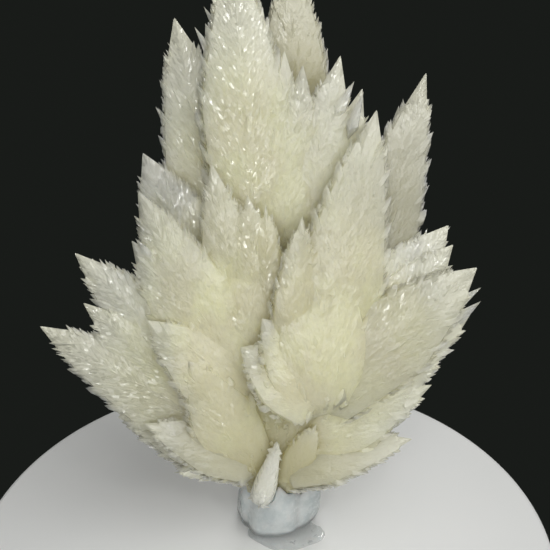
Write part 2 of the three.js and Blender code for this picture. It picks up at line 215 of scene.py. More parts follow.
# %% The table of blades
# name, root, point, width, thickness, turn in degrees,
# widest at this share of the length (or 0.5), width at the root as a share of that (or 0.85)
BLADES = [
    ("crown", (-2, 6, 50), (-9, 3, 143), 22, 6.5, 0, 0.66, 0.75),
    ("crown_mid", (-1, 6, 53), (2, 3, 123), 21, 6.5, 0),
    ("crown_inner", (1, 6, 54), (6, 3, 120), 20, 6.5, 0),
    ("crown_right", (2, 6, 55), (14, 3, 122), 21, 6.5, 0),
    ("crown_far_right", (4, 6, 55), (19, 3, 115), 19, 6.5, 0),
    ("crown_back", (3, 13, 47), (4, 15, 141), 22, 6, 4, 0.66, 0.75),
    ("right_inner", (7, -8, 35), (22, 0, 111), 24, 6.5, 9, 0.5, 0.9),
    ("right_tall", (15, 0, 42), (33, 5, 118), 21, 5.5, 8),
    ("inner_low", (4, -7, 49), (6, -6, 89), 13, 5.5, 10),
    ("right_mid", (10, -6, 45), (40, 1, 84), 22, 5, 8, 0.55),
    ("right_fan", (10, -6, 43), (41, -1, 80), 20, 5, 6, 0.55),
    ("right_wide", (8, -8, 41), (46, -5, 76), 23, 5.5, 4, 0.55),
    ("right_wide_low", (7, -6, 36), (46, -6, 66), 19, 5, 4, 0.55),
    ("right_low", (6, -6, 30), (40, -8, 56), 17, 5, 0, 0.55),
    ("right_low_front", (5, -5, 25), (37, -10, 48), 15, 5, -8),
    ("right_bottom", (4, -3, 23), (31, -3, 38), 14, 5, -10, 0.5, 0.8),
    ("right_foot", (1, -5, 21), (33, -12, 34), 16, 5.5, -20, 0.4, 0.9),
    ("left_tall", (-6, 4, 51), (-22, 10, 129), 26, 6, -8, 0.5, 0.8),
    ("left_upper", (-7, -2, 49), (-30, 5, 100), 25, 5.5, -8),
    ("left_belly", (-5, -4, 38), (-30, -5, 94), 24, 6, -6, 0.45),
    ("left_belly_low", (-5, -4, 37), (-32, -6, 83), 20, 5.5, -6),
    ("left_long", (-7, -3, 36), (-45, -6, 80), 21, 5, -10),
    ("left_long_low", (-8, -4, 31), (-44, -7, 68), 19, 5, -5),
    ("left_low", (-5, -4, 26), (-54, -9, 63), 21, 5, 0),
    ("left_skirt", (-4, -6, 23), (-39, -9, 41), 17, 5, 10),
    ("left_under", (-4, 0, 21), (-32, 4, 50), 18, 5, -60, 0.42, 0.75),
    ("left_foot", (-3, -6, 22), (-31, -13, 39), 16, 5.5, 12, 0.45, 0.7),
    ("left_foot_low", (-2, -5, 23), (-25, -12, 24), 9, 5, 15, 0.45, 0.8),
    ("shield", (10, -10, 39), (12, -4, 85), 24, 6.5, 4, 0.45),
    ("shield_left", (12, -8, 42), (-8, -10, 58), 20, 6, 10, 0.5, 0.9),
    ("shield_mid", (12, -8, 43), (-3, -9, 65), 19, 6, 8, 0.5, 0.9),
    ("centre_left", (-4, -4, 40), (-14, -3, 100), 19, 6, -5, 0.5, 0.9),
    ("front_left", (-4, -5, 38), (-29, -10, 65), 20, 5.5, 4, 0.5, 0.8),
    ("front_low_left", (-3, -6, 17), (-20, -11, 55), 19, 6, 4, 0.58, 0.55),
    ("groove_left", (-4, -3, 56), (-6, -4, 93), 13, 5.5, 0, 0.6, 0.8),
    ("groove_mid", (-2, -3, 56), (-2, -4, 91), 9, 5.5, 0, 0.6, 0.8),
    ("front_pillar", (-4, -8, 11), (1, -13, 35), 7, 5, 0, 0.3, 0.95),
    ("front_right_low", (3, -5, 15), (30, -10, 44), 15, 5.5, -4, 0.62, 0.35),
    ("rib_right", (2, -5, 13), (10, -10, 37), 10, 5.5, 0, 0.55, 0.6),
    ("back_tall", (2, 8, 44), (-8, 22, 124), 24, 6.5, 188, 0.5, 0.8),
    ("back_right_tall", (6, 8, 38), (24, 20, 104), 22, 6, 150),
    ("back_right", (6, 7, 32), (34, 19, 74), 23, 6, 145),
    ("back_right_low", (4, 4, 22), (31, 13, 46), 17, 5.5, 125, 0.45),
    ("back_left", (-6, 8, 34), (-31, 21, 88), 23, 6, 208),
    ("back_left_low", (-5, 6, 25), (-37, 18, 57), 20, 5.5, 215),
    ("back_left_foot", (-3, 5, 20), (-24, 17, 36), 15, 5, 215, 0.45),
    ("back_mid", (0, 9, 32), (6, 33, 86), 25, 6.5, 172, 0.45),
    ("back_low", (-2, 8, 24), (-12, 35, 60), 22, 6, 193, 0.42),
    ("back_low_right", (4, 7, 22), (22, 29, 50), 20, 6, 155, 0.42),
    ("back_foot", (0, 5, 19), (3, 28, 36), 17, 5.5, 175, 0.42),
]
print("blades", len(BLADES))

# %% [markdown]
# ## One blade's own directions
# It is easier to think of a blade as if it lay on a table: how far along it, how far to the
# side, and how far out of its face. The class below turns such a place into a point in the
# room. It also says how wide and thick the blade is anywhere: it swells from the root like a
# sine wave and then closes to the point like a leaf.

# %% Blade
TIP_POWER = 0.62  # below 1 makes the blade's end blunt and leaf-like
EVEN_AT = 0.6  # at this share of the length a blade is as thick as its row says
ROOT_THICK = 1.7  # and at its root this many times thicker
THICK_POWER = 0.8  # the thickness follows the width, but less strongly
ROOT_AT, ROOT_POWER = 0.1, 0.6  # up to this share of the length it gets wider
ROOT_RISE, RISE_POWER = 0.2, 0.5  # and up to this share it rises to its full thickness
FULL_LENGTH = 60  # a shorter blade has smaller crystals
FACING = Vector((0, -1, 0.35))


class Blade:
    def __init__(self, number, name, root, point, width, thick, turn, widest=0.5, base=0.85):
        self.number, self.name = number, name
        self.start = Vector(root)
        self.along = Vector(point) - self.start
        self.length = self.along.length
        self.along.normalize()
        flat = FACING - self.along * FACING.dot(self.along)
        self.out = Quaternion(self.along, math.radians(turn)) @ flat.normalized()
        self.side = self.along.cross(self.out)
        self.width, self.thick = width, thick
        self.widest, self.base = widest, base

    def swell(self, t):
        if t < self.widest:
            rise = math.sin(math.pi / 2 * t / self.widest)
            return (self.base + (1 - self.base) * rise) * min(1, t / ROOT_AT) ** ROOT_POWER
        return (max(1 - t, 0) / (1 - self.widest)) ** TIP_POWER

    def half_width(self, t):
        return self.width / 2 * self.swell(t)

    def half_thick(self, t):
        rise = min(1, t / ROOT_RISE) ** RISE_POWER
        taper = ROOT_THICK + (1 - ROOT_THICK) * t / EVEN_AT
        return self.thick / 2 * rise * self.swell(t) ** THICK_POWER * taper

    def at(self, t, sideways, outward):
        along = self.along * (t * self.length)
        return self.start + along + self.side * sideways + self.out * outward

    def own(self, point):
        away = point - self.start
        return Vector((away.dot(self.side), away.dot(self.out), away.dot(self.along)))

    def heading(self, lean):
        return self.along * math.cos(lean) + self.side * math.sin(lean)

    def crystal_size(self):
        return min(1, self.length / FULL_LENGTH)


blades = [Blade(number, *row) for number, row in enumerate(BLADES)]
print("longest blade", round(max(b.length for b in blades), 1), "mm")

# %% [markdown]
# ## The body of a blade
# A blade's body is a flat plate: level over most of its width, with a slope along each edge.
# Real faces have shallow swells where growth went faster or slower, so slow noise moves the
# face in and out by a few tenths of a millimetre.

# %% Blade bodies
FACE_SHARES = (0.93, 0.72, 0.3, -0.3, -0.72, -0.93)
PLATE = ((0, 0.3, 0.72, 0.93, 1), (1, 0.97, 0.86, 0.68, 0.45))  # place aside, share of the height
PLATE_ROOM, PLATE_LEAST = 0.6, 1  # its half width is this much less than the blade's
LOW_EDGE_DROP, DROP_UP_TO = 0.35, 0.5  # at the root its edges are this much lower
BODY_ROOM, SLIM_ROOM = 1.1, 0.06  # each side is this far in, or this share of the width if less
BODY_LEAST = 0.6
BODY_FOOT, BODY_TO, BODY_END = (0.015, 0.05), 0.9, 0.93
STATION, LEAST_STATIONS = 3.4, 7
SWELL_HEIGHT, SWELL_SINK = 0.5, 0.1


def face_height(blade, t, sideways):
    half = max(blade.half_width(t) - PLATE_ROOM, PLATE_LEAST)
    share = min(abs(sideways) / half, 1)
    drop = LOW_EDGE_DROP * max(0, 1 - t / DROP_UP_TO) * share ** 3
    return blade.half_thick(t) * (float(np.interp(share, *PLATE)) - drop)


def body(blade):
    rings = []
    stations = max(LEAST_STATIONS, round(blade.length / STATION))
    for t in (*BODY_FOOT, *np.linspace(ROOT_AT, BODY_TO, stations)):
        half = max(blade.half_width(t) - min(BODY_ROOM, SLIM_ROOM * blade.width), BODY_LEAST)
        ring = [blade.at(t, half, 0)]
        for up, shares in ((1, FACE_SHARES), (-1, FACE_SHARES[::-1])):
            for share in shares:
                spot = Vector((share * half * 0.15, t * blade.length * 0.1, up * 3.1 + blade.number))
                wave = SWELL_HEIGHT * noise.noise(spot) - SWELL_SINK
                height = face_height(blade, t, share * half) + wave
                ring.append(blade.at(t, share * half, up * height))
            if up > 0:
                ring.append(blade.at(t, -half, 0))
        rings.append(ring)
    return loft(blade.at(0, 0, 0), rings, blade.at(BODY_END, 0, 0))


print("corners in one body", len(body(blades[0])[0]))

# %% [markdown]
# ## Single crystals
# The side leaves and the spurs are slender six-sided crystals with a level face to the front
# and back. The small teeth and the slats have four sides and a ridge there. In calcite the
# corners of the widest ring do not lie level: they zigzag, which makes a "dog tooth".

# %% One slender crystal
SIX_SIDES = ((1, 0), (0.5, 1), (-0.5, 1), (-1, 0), (-0.5, -1), (0.5, -1))
FOUR_SIDES = ((1, 0), (0.15, 1), (-1, 0), (-0.15, -1))
# share of the way from shoulder to point, width, thickness
PLAIN = ((0, 1, 1),)
THIN_END = ((0, 1, 1), (0.5, 0.68, 0.66))
ZIGZAG = 0.04


def crystal(foot, point, out, width, thick, shoulder, turn=0.0, taper=PLAIN, sides=SIX_SIDES):
    axis = point - foot
    along = axis.normalized()
    out = (out - along * out.dot(along)).normalized()
    out = Quaternion(along, turn) @ out
    side = along.cross(out)
    rings = []
    for climb, wide, high in taper:
        ring = []
        for k, (x, z) in enumerate(sides):
            level = shoulder + (1 - shoulder) * climb + (ZIGZAG if k % 2 else -ZIGZAG)
            sideways = side * (x * wide * width / 2)
            ring.append(foot + axis * level + sideways + out * (z * high * thick / 2))
        rings.append(ring)
    return loft(foot, rings, point)


# %% [markdown]
# ## The point of a blade
# The last tenth of a blade is a pyramid with a narrow face in the middle and a broad one on
# each side. It grows out of the saw edge, and only its foot still has a few small teeth.

# %% Blade points
EDGE_ROOM = 1.25  # on each side it starts this far inside the teeth
POINT_FROM, POINT_FOOT = 0.9, 0.7
POINT_RINGS = ((0.79, 1.03), (POINT_FROM, 1), (0.995, 0.08))  # share of the length, size
POINT_SHAPE = ((1, 0), (0.4, 1), (-0.4, 1), (-1, 0), (-0.4, -1), (0.4, -1))


def blade_point(blade):
    half = blade.half_width(POINT_FROM) - EDGE_ROOM
    thick = blade.half_thick(POINT_FROM)
    rings = []
    for t, share in POINT_RINGS:
        rings.append([blade.at(t, x * half * share, z * thick * share) for x, z in POINT_SHAPE])
    return loft(blade.at(POINT_FOOT, 0, 0), rings, blade.at(1, 0, 0))


# %% [markdown]
# ## The saw edge
# A blade is a bundle: along both edges stand flat side leaves that lean outward like the parts
# of a feather, one on each face for each big tooth. Their faces lie level with the body, so what
# shows is a low step and a tooth. The big teeth are where the frame has them. Between their
# points the edge is filled with small thin teeth.

# %% Side leaves
TOOTH_PITCH, TOOTH_LEAN = 5.9, 0.3
SAW_FROM, SAW_TO = 0.3, 0.9
SIDES = ((1, 1), (1, -1), (-1, 1), (-1, -1))  # right or left edge, front or back face
LEAF_UP_TO = 0.86  # nearer the point, a leaf would be broader than the blade
LEAF_FILES = 4  # neighbours go in different files, so that no file overlaps itself
LEAF_FOOT_ROOM = 0.2  # a leaf's foot keeps this share of the half width from the middle
FULL_WIDTH = 20  # a slimmer blade has slimmer leaves


def big_teeth(blade):
    teeth = max(3, round(blade.length * (SAW_TO - SAW_FROM) / TOOTH_PITCH))
    pitch = (SAW_TO - SAW_FROM) / teeth
    return [SAW_FROM + (i + 1 + TOOTH_LEAN) * pitch for i in range(teeth)]


def side_leaf(blade, hand, up, t, rng):
    reach = blade.half_width(t) + 0.2 - rng.uniform(0, 0.9) * (up < 0)
    lean = math.radians(rng.uniform(15, 25))
    long = rng.uniform(8, 14) * blade.crystal_size()
    long = min(long, (reach - LEAF_FOOT_ROOM * blade.half_width(t)) / math.sin(lean))
    shoulder = rng.uniform(0.56, 0.68)
    heading = blade.heading(hand * lean)
    point = blade.at(t, hand * reach, 0)
    foot = point - heading * long
    knee = blade.own(foot + heading * (long * shoulder))
    level = face_height(blade, knee.z / blade.length, knee.x)
    lift = blade.out * (up * 0.5 * level)
    wide = rng.uniform(1.5, 3) * min(1, blade.width / FULL_WIDTH)
    high = level + rng.uniform(0, 0.4)
    twist = rng.uniform(-0.06, 0.06)
    return crystal(foot + lift, point + lift * 1.1, blade.out, wide, high, shoulder, twist, THIN_END)


def side_leaves(blade, rng):
    files = {}
    places = [t for t in big_teeth(blade) if t < LEAF_UP_TO]
    for hand, up in SIDES:
        for count, t in enumerate(places):
            leaf = side_leaf(blade, hand, up, t, rng)
            files.setdefault((hand, up, count % LEAF_FILES), []).append(leaf)
    return list(files.values())


# %% Small teeth
BARB_PITCH = 1.25
BARBS_FROM, BARBS_TO = 0.12, 0.93
BARB_FILES = 4
BARB_IN, NOTCH_DEEPER = 0.1, 0.7  # from the edge to a point at a big tooth, and more at a notch
BARB_FOOT_ROOM = 0.3
SLIM_HALF = 8  # the slimmer the blade, the narrower its teeth


def small_tooth(blade, hand, up, t, rng):
    places = big_teeth(blade)
    pitch = places[1] - places[0]
    half = blade.half_width(t)
    climb = ((t - places[0]) / pitch) % 1
    reach = half - (BARB_IN + NOTCH_DEEPER * (1 - climb)) * rng.uniform(0.2, 1)
    lean = math.radians(rng.uniform(12, 26))
    long = rng.uniform(3, 6) * blade.crystal_size()
    long = min(long, (reach - BARB_FOOT_ROOM * half) / math.sin(lean))
    slope_height = face_height(blade, t, half * 0.9)
    wide = rng.uniform(0.9, 1.7) * min(1, 0.5 + half / SLIM_HALF)
    high = wide * rng.uniform(0.8, 1.2)
    lift = up * (slope_height * rng.uniform(0.5, 1.05) - high / 2)
    point = blade.at(t, hand * reach, lift)
    foot = point - blade.heading(hand * lean) * long
    shoulder = rng.uniform(0.45, 0.65)
    twist = rng.uniform(-0.6, 0.6)
    return crystal(foot, point, blade.out, wide, high, shoulder, twist, sides=FOUR_SIDES)


def small_teeth(blade, rng):
    files = {}
    step = BARB_PITCH / blade.length
    for hand, up in SIDES:
        t = BARBS_FROM + step * rng.uniform(0, 1)
        count = 0
        while t < BARBS_TO:
            tooth = small_tooth(blade, hand, up, t, rng)
            files.setdefault((hand, up, count % BARB_FILES), []).append(tooth)
            t += step * rng.uniform(0.5, 1.5)
            count += 1
    return list(files.values())


# %% [markdown]
# ## Slats on the faces
# On the faces the same crystals lie flat and are sunk in the body, so only a low step shows.
# Near the midrib they are long and follow the blade, and near the edges they lean outward.

# %% Face crystals
SLAT_PITCH = 1.25
SLAT_FILES = 12
SLATS_FROM, SLATS_TO = {1: 0.14, -1: 0.3}, 0.95  # the front is covered farther down
SLAT_LEAN = 30  # degrees at the edge
POINT_SINK = 0.5  # a slat's point is this much lower than its knee
LOWEST_FOOT, LOWEST_KNEE = 0.05, 0.03  # shares of the length, so that none hangs out below the root


def slat(blade, up, t, rng):
    half = blade.half_width(t)
    share = rng.uniform(-0.86, 0.86)
    lean = math.radians(SLAT_LEAN * share + rng.uniform(-5, 5))
    shorter_aside = 1.2 - 0.5 * abs(share)
    long = rng.uniform(7, 18) * blade.crystal_size() * shorter_aside
    long = min(long, (t - LOWEST_FOOT) * blade.length)
    shoulder = rng.uniform(0.6, 0.8)
    heading = blade.heading(lean)
    proud = rng.uniform(0.05, 0.35)
    level = face_height(blade, t, share * half) + proud - POINT_SINK
    point = blade.at(t, share * half, up * level)
    foot = point - heading * long
    knee = blade.own(foot + heading * (long * shoulder))
    level = face_height(blade, max(knee.z / blade.length, LOWEST_KNEE), knee.x) + proud
    high = rng.uniform(1.2, 2)
    sink = up * (level - high) - (foot - blade.start).dot(blade.out)
    foot = foot + blade.out * sink
    wide = rng.uniform(1.5, 4.5)
    twist = rng.uniform(-0.08, 0.08)
    return crystal(foot, point, blade.out, wide, high, shoulder, twist, sides=FOUR_SIDES)


def face_crystals(blade, rng):
    files = {}
    step = SLAT_PITCH / blade.length
    for up, t in SLATS_FROM.items():
        count = 0
        while t < SLATS_TO:
            files.setdefault((up, count % SLAT_FILES), []).append(slat(blade, up, t, rng))
            t += step * rng.uniform(0.5, 1.5)
            count += 1
    return list(files.values())


# %% [markdown]
# ## Spurs
# A few single clean crystals stand out past the saw edges, and the frame has them too. Each is
# one slender crystal whose foot is buried in a blade.

# %% Spurs
# foot, point, radius
SPURS = [
    ((-9, 4, 122), (-15, 4, 132), 1.8),
    ((-11, 4, 117), (-17, 3, 128), 1.9),
    ((-21, 9, 99), (-27, 8, 110), 1.8),
    ((-26, 1, 84), (-31, 0, 93), 1.8),
    ((-25, -6, 74), (-31, -7, 84), 2),
    ((31, 5, 101), (36, 6, 114), 1.9),
    ((13, 1, 108), (17, 1, 117), 1.7),
    ((16, -1, 104), (19, 0, 115), 1.6),
    ((33, 2, 74), (41, 3, 83), 1.8),
    ((34, 1, 70), (42, 1, 79), 1.8),
    ((40, -6, 64), (47, -7, 72), 1.9),
    ((41, -7, 61), (47, -8, 69), 1.9),
]
SPUR_FLATTEN = 0.75
SPUR_SINK = Vector((0, 2.2, 0))  # the foot is this much deeper in the blade than the table says
SPUR_SHOULDER, SPUR_TWIST = 0.3, 0.3


def spur(foot, point, radius):
    width = 2 * radius
    return crystal(Vector(foot) + SPUR_SINK, Vector(point), FACING, width, width * SPUR_FLATTEN,
                   SPUR_SHOULDER, SPUR_TWIST)


# %% [markdown]
# ## The heart of the cluster
# Low down the blades have grown into one another, and only a lumpy heart is left to see, wide
# in the middle and drawn in to a short stalk below. It is rings again, with slow waves, and its
# skin is set with small crystals that point upward and outward.

# %% Heart and stalk
# from the lower end up
HEART_RADII = (4.5, 6.5, 10.5, 14.5, 16.5, 17.5, 17, 14.5, 11, 7, 3)
HEART_HEIGHTS = (6.5, 11, 15, 20, 27, 37, 47, 56, 63, 68, 71)
HEART_SIDES = 24
HEART_DEPTH = 0.78
HEART_HOLLOW = 0.28  # the front is this much flatter
HEART_LUMPS = 0.09
HEART_TIP = 4
STALK_TO, STALK_BLEND = 9, 12  # plain and round up to here, and lumpy above


def heart_spot(angle, height):
    radius = float(np.interp(height, HEART_HEIGHTS, HEART_RADII))
    calm = min(1, max(0, (height - STALK_TO) / STALK_BLEND))
    lumps = 0.6 * math.sin(3 * angle + 0.11 * height) + 0.4 * math.sin(5 * angle - 0.16 * height + 2)
    reach = radius * (1 + HEART_LUMPS * calm * lumps)
    depth = HEART_DEPTH - HEART_HOLLOW * calm * max(0, -math.sin(angle))
    return Vector((reach * math.cos(angle), reach * depth * math.sin(angle), height))


def heart_ring(share, turn):
    return heart_spot(turn, HEART_HEIGHTS[round(share * (len(HEART_HEIGHTS) - 1))])


heart_low = Vector((0, 0, HEART_HEIGHTS[0]))
heart_top = Vector((0, 0, HEART_HEIGHTS[-1] + HEART_TIP))
heart = lump(HEART_SIDES, len(HEART_HEIGHTS), heart_ring, heart_low, heart_top)
print("corners in the heart", len(heart[0]))

# %% Small crystals on the heart
DRUSE_FROM, DRUSE_TO = 16, 71
DRUSE_PITCH = 2.6
DRUSE_LEAST = 8  # crystals in one row
DRUSE_FILES = (4, 5)  # by row and by place, and the first two places apart, as a row closes on itself


def heart_crystals(rng):
    files = {}
    height = DRUSE_FROM
    row = 0
    while height < DRUSE_TO:
        round_trip = 2 * math.pi * (heart_spot(0, height) - Vector((0, 0, height))).length
        around = max(DRUSE_LEAST, round(round_trip / DRUSE_PITCH))
        for k in range(around):
            turn = 2 * math.pi * (k + rng.uniform(-0.3, 0.3)) / around
            spot = heart_spot(turn, height + rng.uniform(-0.6, 0.6))
            away = Vector((spot.x, spot.y / HEART_DEPTH, 0)).normalized()
            heading = (away * rng.uniform(0.35, 0.75) + Vector((0, 0, 1))).normalized()
            point = spot + away * rng.uniform(0.1, 1.1)
            foot = point - heading * rng.uniform(4, 7)
            wide = rng.uniform(1.4, 2.6)
            high = wide * 0.8
            shoulder = rng.uniform(0.5, 0.7)
            twist = rng.uniform(-0.5, 0.5)
            made = crystal(foot, point, away, wide, high, shoulder, twist, sides=FOUR_SIDES)
            files.setdefault((row % DRUSE_FILES[0], k % DRUSE_FILES[1], k < 2), []).append(made)
        height += DRUSE_PITCH
        row += 1
    return list(files.values())


# %% [markdown]
# ## Growing together
# Crystals that grew through each other are one solid. The Boolean modifier with its Manifold
# solver unites thousands of closed skins in seconds. Each skin first gets three notes at every
# corner, and the union keeps them for the finish. "grain" is the place measured along its own
# blade, so that fine lines follow each blade. "habit" is how far along and aside it is, and how
# much that blade glitters. "tone" is how far that blade goes toward olive, white and grey. The
# olive and the grey are partly painted shade.

# %% Skins with notes
NOTE_SHIFT = 37.0  # keeps the patterns of two blades apart
PLAIN_SHINE = 0.2  # for a blade that the next table doesn't name
SHINE = {
    "left_tall": 1, "left_upper": 0.85, "crown": 0.6, "right_mid": 0.8, "right_fan": 0.7,
    "left_long": 0.55, "left_long_low": 0.4, "left_low": 0.5, "front_pillar": 1, "spur": 0.9,
    "right_wide": 0.3, "right_wide_low": 0.35, "centre_left": 0.35, "left_foot": 0.35,
    "left_skirt": 0.35, "groove_left": 0.5, "groove_mid": 0.5, "front_low_left": 0.3,
}
# how far a blade's colour goes toward olive, white and a dull grey. The olive and the grey
# are partly the blade's own tone and partly painted shade, most on crown_back at the back,
# in the grooves and on the low blades
OLIVE_TONE_AND_SHADE = {"crown_back": 1.8, "front_right_low": 0.5, "rib_right": 0.2, "front_low_left": 0.2, "heart": 0.4,
           "groove_left": 0.3, "groove_mid": 0.5, "inner_low": 0.3, "centre_left": 0.15}
FROSTED = {"front_pillar": 0.8, "spur": 0.3, "left_foot": 0.15, "right_mid": 0.65, "right_fan": 0.35,
           "left_long": 0.2, "left_upper": 0.3, "crown_right": 0.2, "left_tall": 0.15}
GREY_TONE_AND_SHADE = {"crown_back": 0.5, "right_tall": 1.2, "left_tall": 0.2, "right_wide": 0.5, "right_inner": 0.2,
          "shield": 0.15, "left_low": 0.4, "left_skirt": 0.7, "left_foot": 0.6, "right_foot": 0.6,
          "right_bottom": 0.5}


def write_note(mesh, name, values, spots):
    note = mesh.attributes.new(name, "FLOAT_VECTOR", "CORNER")
    note.data.foreach_set("vector", np.array(values, dtype=np.float32)[spots].ravel())


def kept_in(corner):
    low, high = Vector(cad_low), Vector(cad_high)
    return Vector([min(max(corner[i] * MM, low[i]), high[i]) for i in range(3)])


def skin(forms, blade, into):
    name = blade.name
    corners, faces = [], []
    for form_corners, form_faces in forms:
        base = len(corners)
        corners.extend(form_corners)
        faces.extend(tuple(base + i for i in face) for face in form_faces)
    mesh = bpy.data.meshes.new(name)
    mesh.from_pydata([kept_in(corner) for corner in corners], [], faces)
    shine = SHINE.get(name, PLAIN_SHINE)
    tone = (OLIVE_TONE_AND_SHADE.get(name, 0), FROSTED.get(name, 0), GREY_TONE_AND_SHADE.get(name, 0))
    places, habits = [], []
    for corner in corners:
        place = blade.own(corner)
        habits.append((place.z / blade.length, place.x / blade.width, shine))
        place.y += NOTE_SHIFT * blade.number
        places.append(place)
    spots = np.empty(len(mesh.loops), dtype=int)
    mesh.loops.foreach_get("vertex_index", spots)
    write_note(mesh, "grain", places, spots)
    write_note(mesh, "habit", habits, spots)
    write_note(mesh, "tone", [tone] * len(corners), spots)
    thing = bpy.data.objects.new(name, mesh)
    into.objects.link(thing)
    return thing


def combined(thing, operation, settings):
    step = thing.modifiers.new(operation.lower(), "BOOLEAN")
    step.operation = operation
    step.solver = "MANIFOLD"
    for key, value in settings.items():
        setattr(step, key, value)
    graph = bpy.context.evaluated_depsgraph_get()
    return bpy.data.meshes.new_from_object(thing.evaluated_get(graph))


def unite(name, skins, into):
    first = skins[0]
    into.objects.unlink(first)
    bpy.context.scene.collection.objects.link(first)
    mesh = combined(first, "UNION", {"operand_type": "COLLECTION", "collection": into})
    mesh.name = name
    for thing in skins:
        bpy.data.meshes.remove(thing.data)
    bpy.data.collections.remove(into)
    return mesh


# %% Grow the cluster
rng = random.Random(11)
beds = bpy.data.collections.new("beds")
skins = []


def plant(groups, blade):
    skins.extend([skin(forms, blade, beds) for forms in groups])


for blade in blades:
    small = face_crystals(blade, rng)
    if blade.name != "front_pillar":
        small += side_leaves(blade, rng) + small_teeth(blade, rng)
    plant([[body(blade)], *small, [blade_point(blade)]], blade)
upright = Blade(len(blades), "heart", (0, 0, 0), (0, 0, 70), 20, 16, 0)  # only for the notes
plant([[heart], *heart_crystals(rng)], upright)
for foot, point, radius in SPURS:
    own = Blade(len(skins), "spur", foot, point, 2 * radius, 2 * radius, 0)
    plant([[spur(foot, point, radius)]], own)
print("skins", len(skins))
cluster_mesh = unite("calcite", skins, beds)
print("faces after growing together", len(cluster_mesh.polygons))

# %% [markdown]
# ## Only the outside
# Blades that lean together can close in a pocket that nobody can see. Each skin that hangs
# together gets one number, and everything but the largest is removed.

# %% Keep the largest skin
def largest_skin(mesh):
    edges = np.empty(len(mesh.edges) * 2, dtype=int)
    mesh.edges.foreach_get("vertices", edges)
    edges = edges.reshape(-1, 2)
    label = np.arange(len(mesh.vertices))
    while True:
        low = np.minimum(label[edges[:, 0]], label[edges[:, 1]])
        fresh = label.copy()
        np.minimum.at(fresh, edges[:, 0], low)
        np.minimum.at(fresh, edges[:, 1], low)
        fresh = fresh[fresh]
        if (fresh == label).all():
            break
        label = fresh
    names, sizes = np.unique(label, return_counts=True)
    print("separate skins", len(names))
    return np.flatnonzero(label != names[sizes.argmax()])


def remove_corners(mesh, unwanted):
    work = bmesh.new()
    work.from_mesh(mesh)
    work.verts.ensure_lookup_table()
    bmesh.ops.delete(work, geom=[work.verts[int(i)] for i in unwanted], context="VERTS")
    work.to_mesh(mesh)
    work.free()


remove_corners(cluster_mesh, largest_skin(cluster_mesh))
cluster_mesh.calc_loop_triangles()
print("triangles", len(cluster_mesh.loop_triangles))

# %% [markdown]
# ## How open and how thick
# Two more notes help the finish. One says how open a place is: rays go out from it, and where
# many meet other crystal close by it is a crease, which the finish darkens toward olive as
# painted shade. The other says how thick the crystal is below it: a ray goes inward until it
# comes out again.

# %% Openness and thickness
OPEN_REACH = 0.014
THICK_REACH = 0.012
RAYS = 14
ABOVE, BELOW = 0.0003, 0.0001  # a ray starts this far off the skin
GRAZING = 0.05  # a ray flatter than this isn't counted


def measure(mesh):
    tree = BVHTree.FromPolygons([v.co for v in mesh.vertices], [p.vertices for p in mesh.polygons])
    rng = random.Random(5)
    rays = []
    while len(rays) < RAYS:
        ray = Vector((rng.uniform(-1, 1), rng.uniform(-1, 1), rng.uniform(-1, 1)))
        if 0.1 < ray.length < 1:
            rays.append(ray.normalized())
    open_share, thick_share = [], []
    for vertex in mesh.vertices:
        normal = vertex.normal
        start = vertex.co + normal * ABOVE
        free = 0.0
        weight = 0.0
        for ray in rays:
            facing = ray.dot(normal)
            if facing < GRAZING:
                ray, facing = -ray, -facing
            if facing < GRAZING:
                continue
            hit = tree.ray_cast(start, ray, OPEN_REACH)[3]
            free += facing * (1 if hit is None else hit / OPEN_REACH)
            weight += facing
        open_share.append(free / weight if weight else 1)
        inside = vertex.co - normal * BELOW
        hit = tree.ray_cast(inside, -normal, THICK_REACH)[3]
        thick_share.append(1 if hit is None else hit / THICK_REACH)
    for name, values in (("open", open_share), ("thick", thick_share)):
        note = mesh.attributes.new(name, "FLOAT", "POINT")
        note.data.foreach_set("value", np.array(values, dtype=np.float32))
        print(name, "mean", round(float(np.mean(values)), 2))


measure(cluster_mesh)

# %% Place the cluster
CALCITE_SHARP = math.radians(24)


def soften(mesh, sharp):
    mesh.polygons.foreach_set("use_smooth", [True] * len(mesh.polygons))
    mesh.set_sharp_from_angle(angle=sharp)
    print("sharp edges", sum(edge.use_edge_sharp for edge in mesh.edges))


soften(cluster_mesh, CALCITE_SHARP)
cluster = in_scene("calcite_crystals", cluster_mesh)
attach(cluster, "root")
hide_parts("calcite_cluster")

# %% [markdown]
# ## The putty
# The holder is a wad of clear putty: a round lump with a waist, squeezed into a big lobe in
# front and a smaller one at the left, with a thin wrinkled smear pressed out under it. Both have
# many corners to a ring, because putty is smooth.

# %% The wad
PUTTY_HEIGHT = 16.5
PUTTY_FOOT = (10.5, 9)
PUTTY_WAIST, PUTTY_BELLY = 0.12, 0.09
PUTTY_LEAN, PUTTY_TOP_TILT = 1.5, 1.2
PUTTY_SIDES, PUTTY_RINGS = 96, 26
LOBE_CREASES = ((-2.42, 0.26, 1.5), (-0.95, 0.2, 0.9))  # angle, width in radians, depth in mm
PRESS_DEPTH = 0.25  # of the finger marks
FOOT_IN, FOOT_UP_TO = 0.5, 0.06  # the lower edge is drawn in this far


def wad_ring(h, a):
    dents = 1 + 0.05 * math.sin(3 * a + 1) + 0.03 * math.sin(5 * a + 4 * h)
    reach = dents * (1 - PUTTY_WAIST * h + PUTTY_BELLY * math.sin(math.pi * h))
    turn = (a + math.pi) % (2 * math.pi) - math.pi
    crease = 0
    for middle, width, depth in LOBE_CREASES:
        crease += depth * math.exp(-(((turn - middle) / width) ** 2))
    press = PRESS_DEPTH * noise.noise(Vector((2.2 * math.cos(a), 2.2 * math.sin(a), 3 * h)))
    foot = FOOT_IN * math.exp(-((h / FOOT_UP_TO) ** 2))
    x = (PUTTY_FOOT[0] * reach - crease + press - foot) * math.cos(a) + PUTTY_LEAN * h
    y = (PUTTY_FOOT[1] * reach - crease + press - foot) * math.sin(a)
    return Vector((x, y, PUTTY_HEIGHT * h + PUTTY_TOP_TILT * h * h * math.sin(2 * a)))


